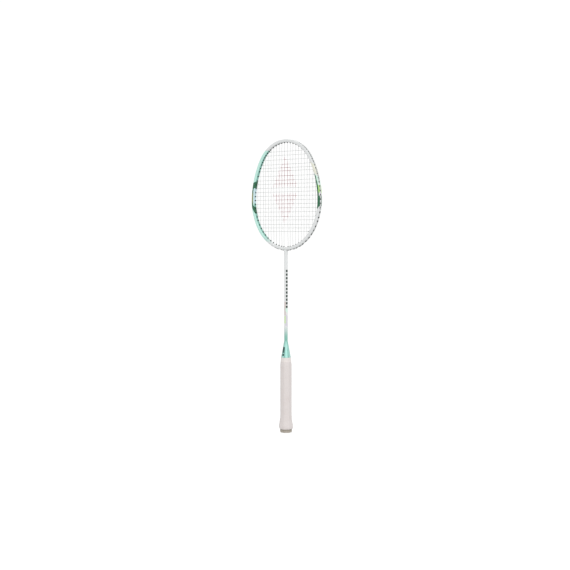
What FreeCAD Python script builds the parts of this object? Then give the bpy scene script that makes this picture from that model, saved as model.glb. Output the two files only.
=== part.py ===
"""Badminton racket: every separate piece, from the butt cap up to the strings.

Millimetres. The butt's end face lies on Z = 0 and the shaft runs up +Z to the head.
X runs across the head and Y is normal to the string bed, with the front at -Y.
"""
import FreeCAD, Part
import math
import os
from collections import namedtuple

import Sketcher
from FreeCAD import Placement, Rotation, Vector

DOC = FreeCAD.newDocument("badminton_racket")
ACROSS = Vector(1, 0, 0)
DEPTH = Vector(0, 1, 0)
UP = Vector(0, 0, 1)

# ---------------------------------------------------------------- driving dimensions

SIZES = {
    # the hoop's outer outline
    "overall_length": 675.0,
    "head_width": 200.6,
    "crown_height": 140.2,      # from the tip down to the widest point
    "throat_height": 112.4,     # from the widest point down to the hoop's lowest point
    "crown_radius": 85.4,
    "throat_radius": 90.9,
    # the hoop's section
    "hoop_width": 6.8,          # in the plane of the head
    "hoop_depth": 10.0,         # normal to the string bed
    "hoop_wall": 0.8,
    "hoop_corner": 2.2,
    "groove_mouth": 5.0,
    "groove_floor": 4.2,
    "groove_drop": 1.45,
    "groove_lip": 0.3,
    "groove_end": 101.6,        # degrees from the tip; below this the hoop is plain
    # throat and shaft
    "boss_start": 411.0,
    "boss_end": 425.4,
    "boss_start_diameter": 8.6,
    "boss_end_diameter": 9.0,
    "shaft_diameter": 8.0,
    "shaft_bore": 5.8,
    "shaft_start": 112.0,
    "shaft_end": 421.4,
    "spigot_start": 396.0,
    "spigot_end": 427.5,
    "saddle_depth": 6.4,
    "saddle_reach": 8.0,        # degrees of the hoop each side of the shaft
    "plug_length": 8.0,
    # handle: each width is across the flats of the octagon
    "corner_ratio": 1 / math.cos(math.pi / 8),
    "grip_width": 24.8,
    "wrap_thickness": 1.7,
    "wrap_hem_width": 29.6,
    "flare_width": 30.4,
    "flare_mid_width": 27.6,
    "flare_low": 14.0,
    "flare_mid": 24.0,
    "flare_top": 42.0,
    "taper_start": 157.0,
    "taper_end": 174.5,
    "taper_width": 21.2,
    "wood_end": 190.0,
    "wood_tip_width": 12.0,
    "cap_height": 8.0,
    "cap_floor": 3.0,
    "cap_width": 26.6,
    "cap_face_width": 24.6,
    "cap_edge": 1.8,
    "cap_wall": 2.0,
    "badge_diameter": 16.0,
    "badge_thickness": 0.7,
    "cone_end": 212.0,
    "cone_width": 21.4,
    "cone_tip_diameter": 8.6,
    "cone_round_diameter": 25.0,
    "tape_start": 164.0,
    "tape_thickness": 0.25,
    "staple_height": 46.0,
    "staple_crown": 6.0,
    "staple_leg": 4.5,
    "staple_wire": 0.7,
    # string bed
    "string_diameter": 0.7,
    "mains": 22,
    "main_pitch": 8.1,
    "crosses": 21,
    "cross_pitch": 9.18,
    "first_cross": 647.4,
    "last_cross": 462.7,
    "weave_height": 0.42,
    "lane_keep": 3.6,           # strings closer than this to a knee stay in their lanes
    "string_lane": 0.45,        # mains pass the hoop this far behind its middle, crosses in front
    "string_clear": 0.08,       # between a string and the grommets that it lies on
    "string_knee": 5.8,         # where a string turns into its grommet, inward from the middle
    # grommets
    "barrel_diameter": 2.6,
    "barrel_bore": 1.7,
    "flange_diameter": 3.8,
    "flange_height": 0.6,
    "plain_flange_height": 0.9,
    "barrel_proud": 1.7,
    "hole_spacing": 6.2,
    "throat_clear": 6.5,        # from the shaft's axis to the nearest hole
    # tie-off knots
    "knot_diameter": 1.9,
    "knot_length": 1.2,
    "knot_offset": 1.4,
}


def make_sheet():
    sheet = DOC.addObject("Spreadsheet::Sheet", "sizes")
    for row, (alias, value) in enumerate(SIZES.items(), start=1):
        sheet.set(f"A{row}", alias)
        sheet.set(f"B{row}", str(value))
        sheet.setAlias(f"B{row}", alias)
    DOC.recompute()
    return sheet


SHEET = make_sheet()


def size(alias):
    return float(SHEET.get(alias))


# ---------------------------------------------------------------- document helpers

NODES = []


def node(obj, label):
    """Keeps a finished object as the sub-part that the label names."""
    obj.Label = label
    NODES.append(obj)
    return obj


def shape_node(label, shape):
    feature = DOC.addObject("Part::Feature", label)
    feature.Shape = shape
    feature.Placement = Placement()
    return node(feature, label)


def bind(obj, **expressions):
    for prop, expression in expressions.items():
        obj.setExpression(prop.replace("__", "."), expression)
    return obj


def octagon(name, width, height):
    """An octagon with flats towards X and Y; width is across the flats."""
    outline = DOC.addObject("Part::RegularPolygon", name)
    outline.Polygon = 8
    outline.Placement = Placement(Vector(), Rotation(UP, 22.5))
    return bind(outline, Circumradius=f"({width}) / 2 * sizes.corner_ratio",
                Placement__Base__z=height)


def octagon_column(name, *sections):
    """A solid with flat facets between octagons, each given as (width, height)."""
    column = DOC.addObject("Part::Loft", name)
    column.Sections = [octagon(f"{name}_{index}", width, height)
                       for index, (width, height) in enumerate(sections)]
    column.Solid = True
    column.Ruled = True
    return column


def cylinder(name, diameter, start, end):
    rod = DOC.addObject("Part::Cylinder", name)
    return bind(rod, Radius=f"({diameter}) / 2", Height=f"({end}) - ({start})",
                Placement__Base__z=start)


def cut(name, base, *tools):
    for index, tool in enumerate(tools):
        result = DOC.addObject("Part::Cut", f"{name}_cut_{index}")
        result.Base = base
        result.Tool = tool
        base = result
    return base


def fuse(name, *shapes):
    result = DOC.addObject("Part::MultiFuse", f"{name}_fuse")
    result.Shapes = list(shapes)
    return result


def origin_plane(body, role):
    return next(item for item in body.Origin.OriginFeatures if item.Role == role)


def padded_disc(label, diameters, length, start):
    """A body padded from one circle, or from an outer and an inner one."""
    body = DOC.addObject("PartDesign::Body", label)
    sketch = body.newObject("Sketcher::SketchObject", f"{label}_section")
    sketch.AttachmentSupport = (origin_plane(body, "XY_Plane"), [""])
    sketch.MapMode = "FlatFace"
    for index, diameter in enumerate(diameters):
        first_guess = 5.0 / (index + 1)
        sketch.addGeometry(Part.Circle(Vector(), UP, first_guess), False)
        sketch.addConstraint(Sketcher.Constraint("Coincident", index, 3, -1, 1))
        row = sketch.addConstraint(Sketcher.Constraint("Diameter", index, 2 * first_guess))
        sketch.setExpression(f"Constraints[{row}]", diameter)
    pad = body.newObject("PartDesign::Pad", f"{label}_pad")
    pad.Profile = sketch
    bind(pad, Length=length)
    bind(body, Placement__Base__z=start)
    return node(body, label)


# ---------------------------------------------------------------- runs with rounded bends

Bend = namedtuple("Bend", "point radius share")
EVEN_SHARE = 0.48  # of the shorter run that a bend's arc may take up at one end


def rounded_edges(bends, closed=False):
    """Straight runs through the points, joined by tangent arcs.

    Each arc has its bend's radius, or the largest that its share of the shorter run
    leaves room for. A radius of 0 keeps the corner sharp.
    """
    count = len(bends)
    corners = []
    for index, bend in enumerate(bends):
        if not closed and index in (0, count - 1):
            corners.append((bend.point, bend.point, None))
            continue
        back = bends[index - 1].point - bend.point
        ahead = bends[(index + 1) % count].point - bend.point
        half_turn = (math.pi - back.getAngle(ahead)) / 2
        room = bend.share * min(back.Length, ahead.Length)
        trim = min(bend.radius * math.tan(half_turn), room)
        if trim < 1e-4:
            corners.append((bend.point, bend.point, None))
            continue
        radius = trim / math.tan(half_turn)
        back.normalize()
        ahead.normalize()
        inward = back + ahead
        inward.normalize()
        middle = bend.point + inward * (radius / math.cos(half_turn) - radius)
        corners.append((bend.point + back * trim, bend.point + ahead * trim, middle))
    edges = []
    for index, (start, end, middle) in enumerate(corners):
        if middle is not None:
            edges.append(Part.Arc(start, middle, end).toShape())
        if index < count - 1 or closed:
            following = corners[(index + 1) % count][0]
            if end.distanceToPoint(following) > 1e-5:
                edges.append(Part.LineSegment(end, following).toShape())
    return edges


def tube_along(edges, diameter):
    """A round rod swept along the edges, with its volume compared to its length."""
    path = Part.Wire(edges)
    start = edges[0].valueAt(edges[0].FirstParameter)
    heading = edges[0].tangentAt(edges[0].FirstParameter)
    circle = Part.Wire([Part.Circle(start, heading, diameter / 2).toShape()])
    rod = path.makePipeShell([circle], True, False)
    expected = path.Length * math.pi * diameter ** 2 / 4
    print(f"swept rod {path.Length:.1f} long, volume {rod.Volume / expected:.5f} of expected")
    return rod


# ---------------------------------------------------------------- the hoop's line

ARC_TURN = 30.0  # degrees in each of the hoop's tangent arcs, three to a quarter


def quarter_radii(end_radius, half_width, height):
    """Radii of a quarter's three arcs, from the hoop's end on the axis to its side.

    The end arc's radius is given. The other two follow from the quarter's size.
    """
    low, high = math.sin(math.radians(ARC_TURN)), math.sin(math.radians(2 * ARC_TURN))
    side_radius = end_radius + (height - half_width) / (high - low)
    middle_radius = (half_width - end_radius * low - side_radius * (1 - high)) / (high - low)
    return [end_radius, middle_radius, side_radius]


HALF_WIDTH = size("head_width") / 2
OUTLINE_RADII = (quarter_radii(size("crown_radius"), HALF_WIDTH, size("crown_height"))
                 + quarter_radii(size("throat_radius"), HALF_WIDTH, size("throat_height"))[::-1])
HALF_HOOP = size("hoop_width") / 2
MIDDLE_RADII = [radius - HALF_HOOP for radius in OUTLINE_RADII]


def outward(angle):
    """The hoop's normal at an angle in degrees, from the tip towards +X."""
    turn = math.radians(angle)
    return Vector(math.sin(turn), 0, math.cos(turn))


def arc_centres():
    centre = UP * (size("overall_length") - OUTLINE_RADII[0])
    centres = [centre]
    for index in range(1, len(OUTLINE_RADII)):
        change = OUTLINE_RADII[index - 1] - OUTLINE_RADII[index]
        centre = centre + outward(index * ARC_TURN) * change
        centres.append(centre)
    return centres


CENTRES = arc_centres()


def arc_at(angle):
    """Centre and middle radius of the hoop's arc on its +X half, from 0 to 180 degrees."""
    index = min(int(angle // ARC_TURN), len(CENTRES) - 1)
    return CENTRES[index], MIDDLE_RADII[index]


def hoop_point(angle, offset=0.0, lane=0.0):
    """A point at the hoop's normal angle, offset outward from the middle of its section."""
    if angle > 180:
        mirrored = hoop_point(360 - angle, offset, lane)
        return Vector(-mirrored.x, mirrored.y, mirrored.z)
    centre, radius = arc_at(angle)
    return centre + outward(angle) * (radius + offset) + DEPTH * lane


def hoop_length(angle):
    """Length of the hoop's middle line from the tip, on its +X half."""
    whole = int(angle // ARC_TURN)
    rest = angle - whole * ARC_TURN
    length = sum(radius * math.radians(ARC_TURN) for radius in MIDDLE_RADII[:whole])
    return length + (arc_at(angle)[1] * math.radians(rest) if rest > 0 else 0.0)


def find_angle(measure, low=0.0, high=180.0):
    """The angle where measure, which rises from low to high, passes zero."""
    for _ in range(60):
        middle = (low + high) / 2
        if measure(middle) < 0:
            low = middle
        else:
            high = middle
    return (low + high) / 2


# ---------------------------------------------------------------- string holes

HALF_MAINS = int(size("mains")) // 2
CROSSES = int(size("crosses"))
KNEE = size("string_knee")
LANE = size("string_lane")


def knee_point(angle):
    return hoop_point(angle, -KNEE)


def natural_holes():
    """Hole angles on the +X half where straight strings reach the hoop."""
    holes = {}
    for index in range(HALF_MAINS):
        x = (index + 0.5) * size("main_pitch")
        holes["main_top", index] = find_angle(lambda a: knee_point(a).x - x, 0, 90)
        holes["main_bottom", index] = find_angle(lambda a: x - knee_point(a).x, 90, 180)
    for index in range(CROSSES):
        z = size("first_cross") - index * size("cross_pitch")
        if index == CROSSES - 1:
            z = size("last_cross")
        holes["cross", index] = find_angle(lambda a: z - knee_point(a).z)
    return holes


# Where the outer mains run into the crosses, one hole takes a main and a cross.
SHARED_HOLES = ((("main_top", 9), ("cross", 5)), (("main_top", 10), ("cross", 7)),
                (("main_bottom", 10), ("cross", 16)), (("main_bottom", 9), ("cross", 18)),
                (("main_bottom", 8), ("cross", 20)))


def spaced_holes():
    """The same holes, some of them shared, and none closer than hole_spacing."""
    lengths = {key: hoop_length(angle) for key, angle in natural_holes().items()}
    paired = [key for pair in SHARED_HOLES for key in pair]
    groups = list(SHARED_HOLES) + [(key,) for key in lengths if key not in paired]
    middle = {group: sum(lengths[key] for key in group) / len(group) for group in groups}
    order = sorted(groups, key=middle.get)
    places = [middle[group] for group in order]
    last = hoop_length(180) - size("throat_clear")
    for _ in range(400):
        places[-1] = min(places[-1], last)
        for index in range(len(places) - 1):
            lack = size("hole_spacing") - (places[index + 1] - places[index])
            if lack > 0:
                places[index] -= lack / 2
                places[index + 1] += lack / 2
    holes = {}
    for group, place in zip(order, places):
        angle = find_angle(lambda a: hoop_length(a) - place)
        holes.update({key: angle for key in group})
    return holes


HOLES = spaced_holes()


def main_angles():
    """(top, bottom) hole angles of each main string, from -X to +X."""
    right = [(HOLES["main_top", index], HOLES["main_bottom", index])
             for index in range(HALF_MAINS)]
    left = [(360 - top, 360 - bottom) for top, bottom in reversed(right)]
    return left + right


def cross_angles():
    """(left, right) hole angles of each cross string, from the top down."""
    return [(360 - HOLES["cross", index], HOLES["cross", index]) for index in range(CROSSES)]


MAINS = main_angles()
CROSS_STRINGS = cross_angles()


def drill(angle, diameter, inner, outer):
    """A cylinder along the hoop's normal, between two offsets from its middle line."""
    direction = hoop_point(angle, 1) - hoop_point(angle)
    return Part.makeCylinder(diameter / 2, outer - inner, hoop_point(angle, inner), direction)


def all_hole_angles():
    right = set(HOLES.values())
    return sorted(right | {360 - angle for angle in right})


def seat_level(angle):
    """Where a grommet's flange sits: on the groove's floor, or on the plain hoop."""
    if min(angle, 360 - angle) < size("groove_end"):
        return HALF_HOOP - size("groove_drop")
    return HALF_HOOP


def flange_top(angle):
    in_groove = seat_level(angle) < HALF_HOOP
    return seat_level(angle) + size("flange_height" if in_groove else "plain_flange_height")


# ---------------------------------------------------------------- hoop, joint and shaft

def ring_along_hoop(bends, start, end):
    """Solids that carry a closed section round the hoop from one angle to another.

    The section's points are (offset outward, depth, 0) and end is at most 180 degrees.
    """
    pieces = []
    angle = start
    while angle < end - 1e-6:
        stop = min(end, (int(angle // ARC_TURN) + 1) * ARC_TURN)
        centre, radius = arc_at(angle)
        placed = [Bend(centre + outward(angle) * (radius + bend.point.x) + DEPTH * bend.point.y,
                       bend.radius, bend.share) for bend in bends]
        face = Part.Face(Part.Wire(rounded_edges(placed, closed=True)))
        pieces.append(face.revolve(centre, DEPTH, stop - angle))
        angle = stop
    return pieces


def section(*corners):
    """Both sides of a section from its corners (offset, depth, radius) on one side."""
    front = [Bend(Vector(offset, -depth, 0), radius, EVEN_SHARE)
             for offset, depth, radius in corners]
    back = [Bend(Vector(offset, depth, 0), radius, EVEN_SHARE)
            for offset, depth, radius in reversed(corners)]
    return front + back


def whole_ring(grooved, plain, change):
    """One section from the tip down to an angle and another from there to the throat."""
    half = ring_along_hoop(grooved, 0, change) + ring_along_hoop(plain, change, 180)
    mirrored = [piece.mirror(Vector(), ACROSS) for piece in half]
    ring = half[0].multiFuse(half[1:] + mirrored)
    return ring.removeSplitter()


def shaft_boss():
    return Part.makeCone(size("boss_start_diameter") / 2, size("boss_end_diameter") / 2,
                         size("boss_end") - size("boss_start"), UP * size("boss_start"))


def make_hoop():
    half_depth = size("hoop_depth") / 2
    corner = size("hoop_corner")
    floor = HALF_HOOP - size("groove_drop")
    wall = size("hoop_wall")
    rim = ((-HALF_HOOP, half_depth, corner), (HALF_HOOP, half_depth, corner))
    groove = ((HALF_HOOP, size("groove_mouth") / 2, size("groove_lip")),
              (floor, size("groove_floor") / 2, 0))
    groove_end = size("groove_end")
    cavity_change = groove_end + math.degrees(wall / arc_at(groove_end)[1])
    outside = whole_ring(section(*rim, *groove), section(*rim), groove_end)
    inner_side = (wall - HALF_HOOP, half_depth - wall, corner - wall)
    cavity = whole_ring(
        section(inner_side, (floor - wall, half_depth - wall, corner - wall)),
        section(inner_side, (HALF_HOOP - wall, half_depth - wall, corner - wall)),
        cavity_change)
    shell = outside.fuse(shaft_boss()).removeSplitter().cut(cavity)
    socket = Part.makeCylinder(size("shaft_diameter") / 2, size("shaft_end") - size("boss_start"),
                               UP * size("boss_start"))
    passage = Part.makeCylinder(size("shaft_bore") / 2, size("boss_end") - size("shaft_end") + 2,
                                UP * size("shaft_end"))
    holes = [drill(angle, size("barrel_diameter"), -HALF_HOOP - 1, HALF_HOOP + 1)
             for angle in all_hole_angles()]
    return shell.cut([socket, passage, *holes])


def make_t_joint():
    """The saddle inside the hoop's throat and the spigot that carries the shaft."""
    reach = HALF_HOOP - size("hoop_wall")
    half_depth = size("saddle_depth") / 2
    bends = section((-reach, half_depth, 0.8), (reach, half_depth, 0.8))
    arm = ring_along_hoop(bends, 180 - size("saddle_reach"), 180)[0]
    spigot = Part.makeCylinder(size("shaft_bore") / 2, size("spigot_end") - size("spigot_start"),
                               UP * size("spigot_start"))
    joint = spigot.multiFuse([arm, arm.mirror(Vector(), ACROSS)])
    throat = [angle for angle in all_hole_angles() if abs(angle - 180) < 2 * size("saddle_reach")]
    holes = [drill(angle, size("barrel_diameter"), -HALF_HOOP - 1, HALF_HOOP + 1)
             for angle in throat]
    return joint.cut(holes).removeSplitter()


# ---------------------------------------------------------------- grommets

CROWN_END, THROAT_START = 33.0, 145.5   # degrees from the tip
FLANGE_GAP = 0.03


def grommet(angle):
    """A barrel through the hoop with a flange on its outer end."""
    inner = -HALF_HOOP - size("barrel_proud")
    top = flange_top(angle)
    barrel = drill(angle, size("barrel_diameter"), inner, top)
    flange = drill(angle, size("flange_diameter"), seat_level(angle) + FLANGE_GAP, top)
    bore = drill(angle, size("barrel_bore"), inner - 1, top + 1)
    return barrel.fuse(flange).cut(bore)


def grommet_group(angles):
    return Part.makeCompound([grommet(angle) for angle in angles])


def make_grommets():
    groups = {"crown_grommets": [], "left_grommets": [], "right_grommets": [],
              "throat_grommets": []}
    for angle in all_hole_angles():
        from_tip = min(angle, 360 - angle)
        if from_tip < CROWN_END:
            name = "crown_grommets"
        elif from_tip > THROAT_START:
            name = "throat_grommets"
        else:
            name = "right_grommets" if angle < 180 else "left_grommets"
        groups[name].append(angle)
    for name, angles in groups.items():
        shape_node(name, grommet_group(angles))


# ---------------------------------------------------------------- strings

KNEE_RADIUS = 1.0
CORNER_RADIUS = 0.8
RAMP_RADIUS = 3.0
WEAVE_RADIUS = 5.0


def crossing(main, cross):
    """Where a main and a cross meet, or None if they don't or if they share a hole there."""
    top, bottom = knee_point(MAINS[main][0]), knee_point(MAINS[main][1])
    left, right = knee_point(CROSS_STRINGS[cross][0]), knee_point(CROSS_STRINGS[cross][1])
    down, over = bottom - top, right - left
    gap = left - top
    scale = down.x * over.z - down.z * over.x
    along_main = (gap.x * over.z - gap.z * over.x) / scale
    along_cross = (gap.x * down.z - gap.z * down.x) / scale
    shared = {*MAINS[main]} & {*CROSS_STRINGS[cross]}
    if shared or not (0 < along_main < 1 and 0 < along_cross < 1):
        return None
    return top + down * along_main


def weave_side(main, cross, point):
    """+1 where the main passes behind the cross, -1 where it passes in front.

    The sides alternate, except beside the hoop, where both strings keep to their lanes.
    """
    knees = [knee_point(angle) for angle in (*MAINS[main], *CROSS_STRINGS[cross])]
    if min(point.distanceToPoint(knee) for knee in knees) < size("lane_keep"):
        return 1
    return 1 if (main + cross) % 2 == 0 else -1


def bed_run(points, start_angle, end_angle, lane):
    """One string across the bed: its knees and its crossings, in order."""
    first = Bend(hoop_point(start_angle, -KNEE, lane), KNEE_RADIUS, EVEN_SHARE)
    last = Bend(hoop_point(end_angle, -KNEE, lane), KNEE_RADIUS, EVEN_SHARE)
    middle = [Bend(point, WEAVE_RADIUS, EVEN_SHARE) for point in points]
    return [first, *middle, last]


def main_run(main):
    rise = size("weave_height")
    points = []
    for cross in range(CROSSES):
        point = crossing(main, cross)
        if point is not None:
            points.append(point + DEPTH * rise * weave_side(main, cross, point))
    return bed_run(points, *MAINS[main], LANE)


def cross_run(cross):
    rise = size("weave_height")
    points = []
    for main in range(len(MAINS)):
        point = crossing(main, cross)
        if point is not None:
            points.append(point - DEPTH * rise * weave_side(main, cross, point))
    return bed_run(points, *CROSS_STRINGS[cross], -LANE)


def string_level(angle):
    return flange_top(angle) + size("string_clear") + size("string_diameter") / 2


def groove_loop(start_angle, end_angle, lane):
    """The string from one hole to the next round the outside: corner, bend, corner.

    A loop out of the groove climbs to the plain hoop's level at the groove's end.
    """
    start = hoop_point(start_angle, string_level(start_angle), lane)
    end = hoop_point(end_angle, string_level(end_angle), lane)
    if seat_level(start_angle) != seat_level(end_angle):
        leaves = size("groove_end") if start_angle < 180 else 360 - size("groove_end")
        top = hoop_point(leaves, max(string_level(start_angle), string_level(end_angle)), lane)
        return [Bend(start, CORNER_RADIUS, EVEN_SHARE), Bend(top, RAMP_RADIUS, EVEN_SHARE),
                Bend(end, CORNER_RADIUS, EVEN_SHARE)]
    start_normal, end_normal = outward(start_angle), outward(end_angle)
    scale = start_normal.x * end_normal.z - start_normal.z * end_normal.x
    start_reach, end_reach = start_normal.dot(start), end_normal.dot(end)
    middle = Vector((start_reach * end_normal.z - end_reach * start_normal.z) / scale, lane,
                    (end_reach * start_normal.x - start_reach * end_normal.x) / scale)
    half_turn = start_normal.getAngle(end_normal) / 2
    shorter = min(start.distanceToPoint(middle), end.distanceToPoint(middle))
    radius = (shorter - CORNER_RADIUS - 0.05) / math.tan(half_turn)
    return [Bend(start, CORNER_RADIUS, EVEN_SHARE), Bend(middle, radius, 1.0),
            Bend(end, CORNER_RADIUS, EVEN_SHARE)]


def string_route(runs, angles, lane):
    """One string through all its runs, turning back at alternate ends.

    runs and angles go the same way along the bed; every second run is reversed.
    """
    route = []
    for index, (run, ends) in enumerate(zip(runs, angles)):
        forward = index % 2 == 1
        entry, leaving = ends if forward else ends[::-1]
        if index == 0:
            route.append(Bend(hoop_point(entry, 1.5, lane), 0, EVEN_SHARE))
        route += run if forward else run[::-1]
        if index == len(runs) - 1:
            route.append(Bend(hoop_point(leaving, 1.5, lane), 0, EVEN_SHARE))
        else:
            following = angles[index + 1]
            arrival = following[1] if forward else following[0]
            route += groove_loop(leaving, arrival, lane)
    return route


def make_strings():
    main_runs = [main_run(main) for main in range(len(MAINS))]
    cross_runs = [cross_run(cross) for cross in range(CROSSES)]
    thickness = size("string_diameter")
    main_route = string_route(main_runs, MAINS, LANE)
    cross_route = string_route(cross_runs, CROSS_STRINGS, -LANE)
    shape_node("main_string", tube_along(rounded_edges(main_route), thickness))
    shape_node("cross_string", tube_along(rounded_edges(cross_route), thickness))


def knot(knee, following):
    """A bead round the string's last run, just inside its grommet."""
    heading = following - knee
    heading.normalize()
    half = size("knot_length") / 2
    start = knee + heading * (size("knot_offset") - half)
    bead = Part.makeCylinder(size("knot_diameter") / 2, 2 * half, start, heading)
    bead = bead.makeFillet(0.45, bead.Edges)
    bore = Part.makeCylinder(size("string_diameter") / 2 + 0.04, 2 * half + 2,
                             start - heading, heading)
    return bead.cut(bore)


def make_knots():
    """Both mains end at the throat; the crosses end top left and bottom right."""
    runs = [main_run(0)[::-1], main_run(len(MAINS) - 1)[::-1], cross_run(0)[::-1],
            cross_run(CROSSES - 1)]
    return Part.makeCompound([knot(run[0].point, run[1].point) for run in runs])


# ---------------------------------------------------------------- handle

WRAP = "2 * sizes.wrap_thickness"
FLARE_SECTIONS = (
    ("sizes.wrap_hem_width", "sizes.cap_height"),
    ("sizes.flare_width", "sizes.flare_low"),
    ("sizes.flare_mid_width", "sizes.flare_mid"),
    ("sizes.grip_width", "sizes.flare_top"),
    ("sizes.grip_width", "sizes.taper_start"),
    ("sizes.taper_width", "sizes.taper_end"),
)
WOOD_SECTIONS = tuple((f"{width} - {WRAP}", height) for width, height in FLARE_SECTIONS)
SPIGOT_WIDTH = "sizes.cap_width - 2 * sizes.cap_wall"


def staple(name, side):
    """A crown and two legs, driven into the wood from the facet on one side of Y."""
    pieces = []
    face = f"(sizes.grip_width / 2 - sizes.wrap_thickness) * {side}"
    deep = "sizes.staple_leg"
    wire = "sizes.staple_wire"
    boxes = (("crown", "-sizes.staple_crown / 2", "sizes.staple_crown", wire),
             ("leg_a", "-sizes.staple_crown / 2", wire, deep),
             ("leg_b", f"sizes.staple_crown / 2 - {wire}", wire, deep))
    for part, left, length, width in boxes:
        box = DOC.addObject("Part::Box", f"{name}_{part}")
        low = face if side < 0 else f"{face} - {width}"
        bind(box, Length=length, Width=width, Height=wire, Placement__Base__x=left,
             Placement__Base__y=low, Placement__Base__z="sizes.staple_height")
        pieces.append(box)
    return fuse(name, *pieces)


def make_handle():
    staples = DOC.addObject("Part::Compound", "staple_pair")
    staples.Links = [staple("front_staple", -1), staple("back_staple", 1)]
    node(staples, "grip_staples")

    core = fuse("core",
                octagon_column("wood", *WOOD_SECTIONS, ("sizes.wood_tip_width", "sizes.wood_end")),
                octagon_column("wood_spigot", (SPIGOT_WIDTH, "sizes.cap_floor"),
                               (SPIGOT_WIDTH, "sizes.cap_height")))
    core_bore = cylinder("core_bore", "sizes.shaft_diameter", "sizes.shaft_start",
                         "sizes.wood_end + 1")
    node(cut("core", core, core_bore, staples), "handle_core")

    cap = octagon_column("cap_shape", ("sizes.cap_face_width", "0"),
                         ("sizes.cap_width", "sizes.cap_edge"),
                         ("sizes.cap_width", "sizes.cap_height"))
    cap_pocket = octagon_column("cap_pocket", (SPIGOT_WIDTH, "sizes.cap_floor"),
                                (SPIGOT_WIDTH, "sizes.cap_height + 1"))
    badge_seat = cylinder("badge_seat", "sizes.badge_diameter", "-1", "sizes.badge_thickness")
    node(cut("cap", cap, cap_pocket, badge_seat), "butt_cap")
    padded_disc("butt_badge", ["sizes.badge_diameter"], "sizes.badge_thickness", "0")

    node(cut("wrap", octagon_column("wrap_outside", *FLARE_SECTIONS),
             octagon_column("wrap_inside", *WOOD_SECTIONS)), "grip_wrap")

    fraction = "(sizes.tape_start - sizes.taper_start) / (sizes.taper_end - sizes.taper_start)"
    start_width = f"sizes.grip_width + (sizes.taper_width - sizes.grip_width) * {fraction}"
    proud = "2 * sizes.tape_thickness"
    node(cut("tape", octagon_column("tape_outside", (f"{start_width} + {proud}", "sizes.tape_start"),
                                    (f"sizes.taper_width + {proud}", "sizes.taper_end")),
             octagon_column("tape_inside", (start_width, "sizes.tape_start"),
                            ("sizes.taper_width", "sizes.taper_end"))), "finishing_tape")


def make_cone_cap():
    """Eight facets at the grip that fade into a round tip at the shaft."""
    facets = octagon_column("cone_facets", ("sizes.cone_width", "sizes.taper_end"),
                            ("sizes.cone_tip_diameter", "sizes.cone_end"))
    rounding = DOC.addObject("Part::Cone", "cone_rounding")
    bind(rounding, Radius1="sizes.cone_round_diameter / 2", Radius2="sizes.cone_tip_diameter / 2",
         Height="sizes.cone_end - sizes.taper_end", Placement__Base__z="sizes.taper_end")
    blend = DOC.addObject("Part::MultiCommon", "cone_blend")
    blend.Shapes = [facets, rounding]
    wood_room = octagon_column("wood_room", (WOOD_SECTIONS[-1][0], "sizes.taper_end"),
                               ("sizes.wood_tip_width", "sizes.wood_end"))
    shaft_room = cylinder("shaft_room", "sizes.shaft_diameter", "sizes.taper_end",
                          "sizes.cone_end + 1")
    node(cut("cone", blend, wood_room, shaft_room), "cone_cap")


def make_shaft():
    padded_disc("shaft", ["sizes.shaft_diameter", "sizes.shaft_bore"],
                "sizes.shaft_end - sizes.shaft_start", "sizes.shaft_start")
    padded_disc("shaft_plug", ["sizes.shaft_bore"], "sizes.plug_length", "sizes.shaft_start")


# ---------------------------------------------------------------- build, check, export

def check_document():
    for obj in DOC.Objects:
        bad = [state for state in obj.State if state in ("Invalid", "Error")]
        if bad:
            raise RuntimeError(f"{obj.Name} is {bad}")
    for obj in NODES:
        if obj.Shape.isNull() or not obj.Shape.isValid():
            raise RuntimeError(f"{obj.Label} has no valid shape")


def export_nodes():
    os.makedirs("parts", exist_ok=True)
    for obj in NODES:
        obj.Shape.exportStep(f"parts/{obj.Label}.step")
        box = obj.Shape.BoundBox
        print(f"{obj.Label:18s} solids {len(obj.Shape.Solids):3d} volume {obj.Shape.Volume:9.1f} "
              f"z {box.ZMin:7.2f} to {box.ZMax:7.2f}")


shape_node("frame_hoop", make_hoop())
shape_node("t_joint", make_t_joint())
make_shaft()
make_handle()
make_cone_cap()
make_grommets()
make_strings()
shape_node("string_knots", make_knots())
DOC.recompute()
check_document()
export_nodes()
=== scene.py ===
"""The looks of the badminton racket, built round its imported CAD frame.

The racket's lengths are in millimetres until add_mesh() scales them to metres; the floor,
the lights and the camera are in metres. The butt's end face is at Z = 0, the head's tip is
up +Z, and the front of the string bed faces -Y.
"""
import math

import bpy
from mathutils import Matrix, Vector


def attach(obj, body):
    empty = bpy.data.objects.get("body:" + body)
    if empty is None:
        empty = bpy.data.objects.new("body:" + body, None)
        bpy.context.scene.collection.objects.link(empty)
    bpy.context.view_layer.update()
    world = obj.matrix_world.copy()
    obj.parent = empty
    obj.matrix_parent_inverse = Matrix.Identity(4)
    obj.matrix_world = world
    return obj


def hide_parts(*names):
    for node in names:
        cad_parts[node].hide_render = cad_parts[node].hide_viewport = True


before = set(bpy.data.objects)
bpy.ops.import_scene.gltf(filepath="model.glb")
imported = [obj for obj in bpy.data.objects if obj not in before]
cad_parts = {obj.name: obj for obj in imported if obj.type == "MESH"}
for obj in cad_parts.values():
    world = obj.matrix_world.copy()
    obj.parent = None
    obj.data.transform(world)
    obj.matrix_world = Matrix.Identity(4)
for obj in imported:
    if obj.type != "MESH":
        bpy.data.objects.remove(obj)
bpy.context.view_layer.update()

MM = 0.001
BODY = "root"
DEPTH = Vector((0, 1, 0))
UP = Vector((0, 0, 1))


# ---------------------------------------------------------------- meshes

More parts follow.
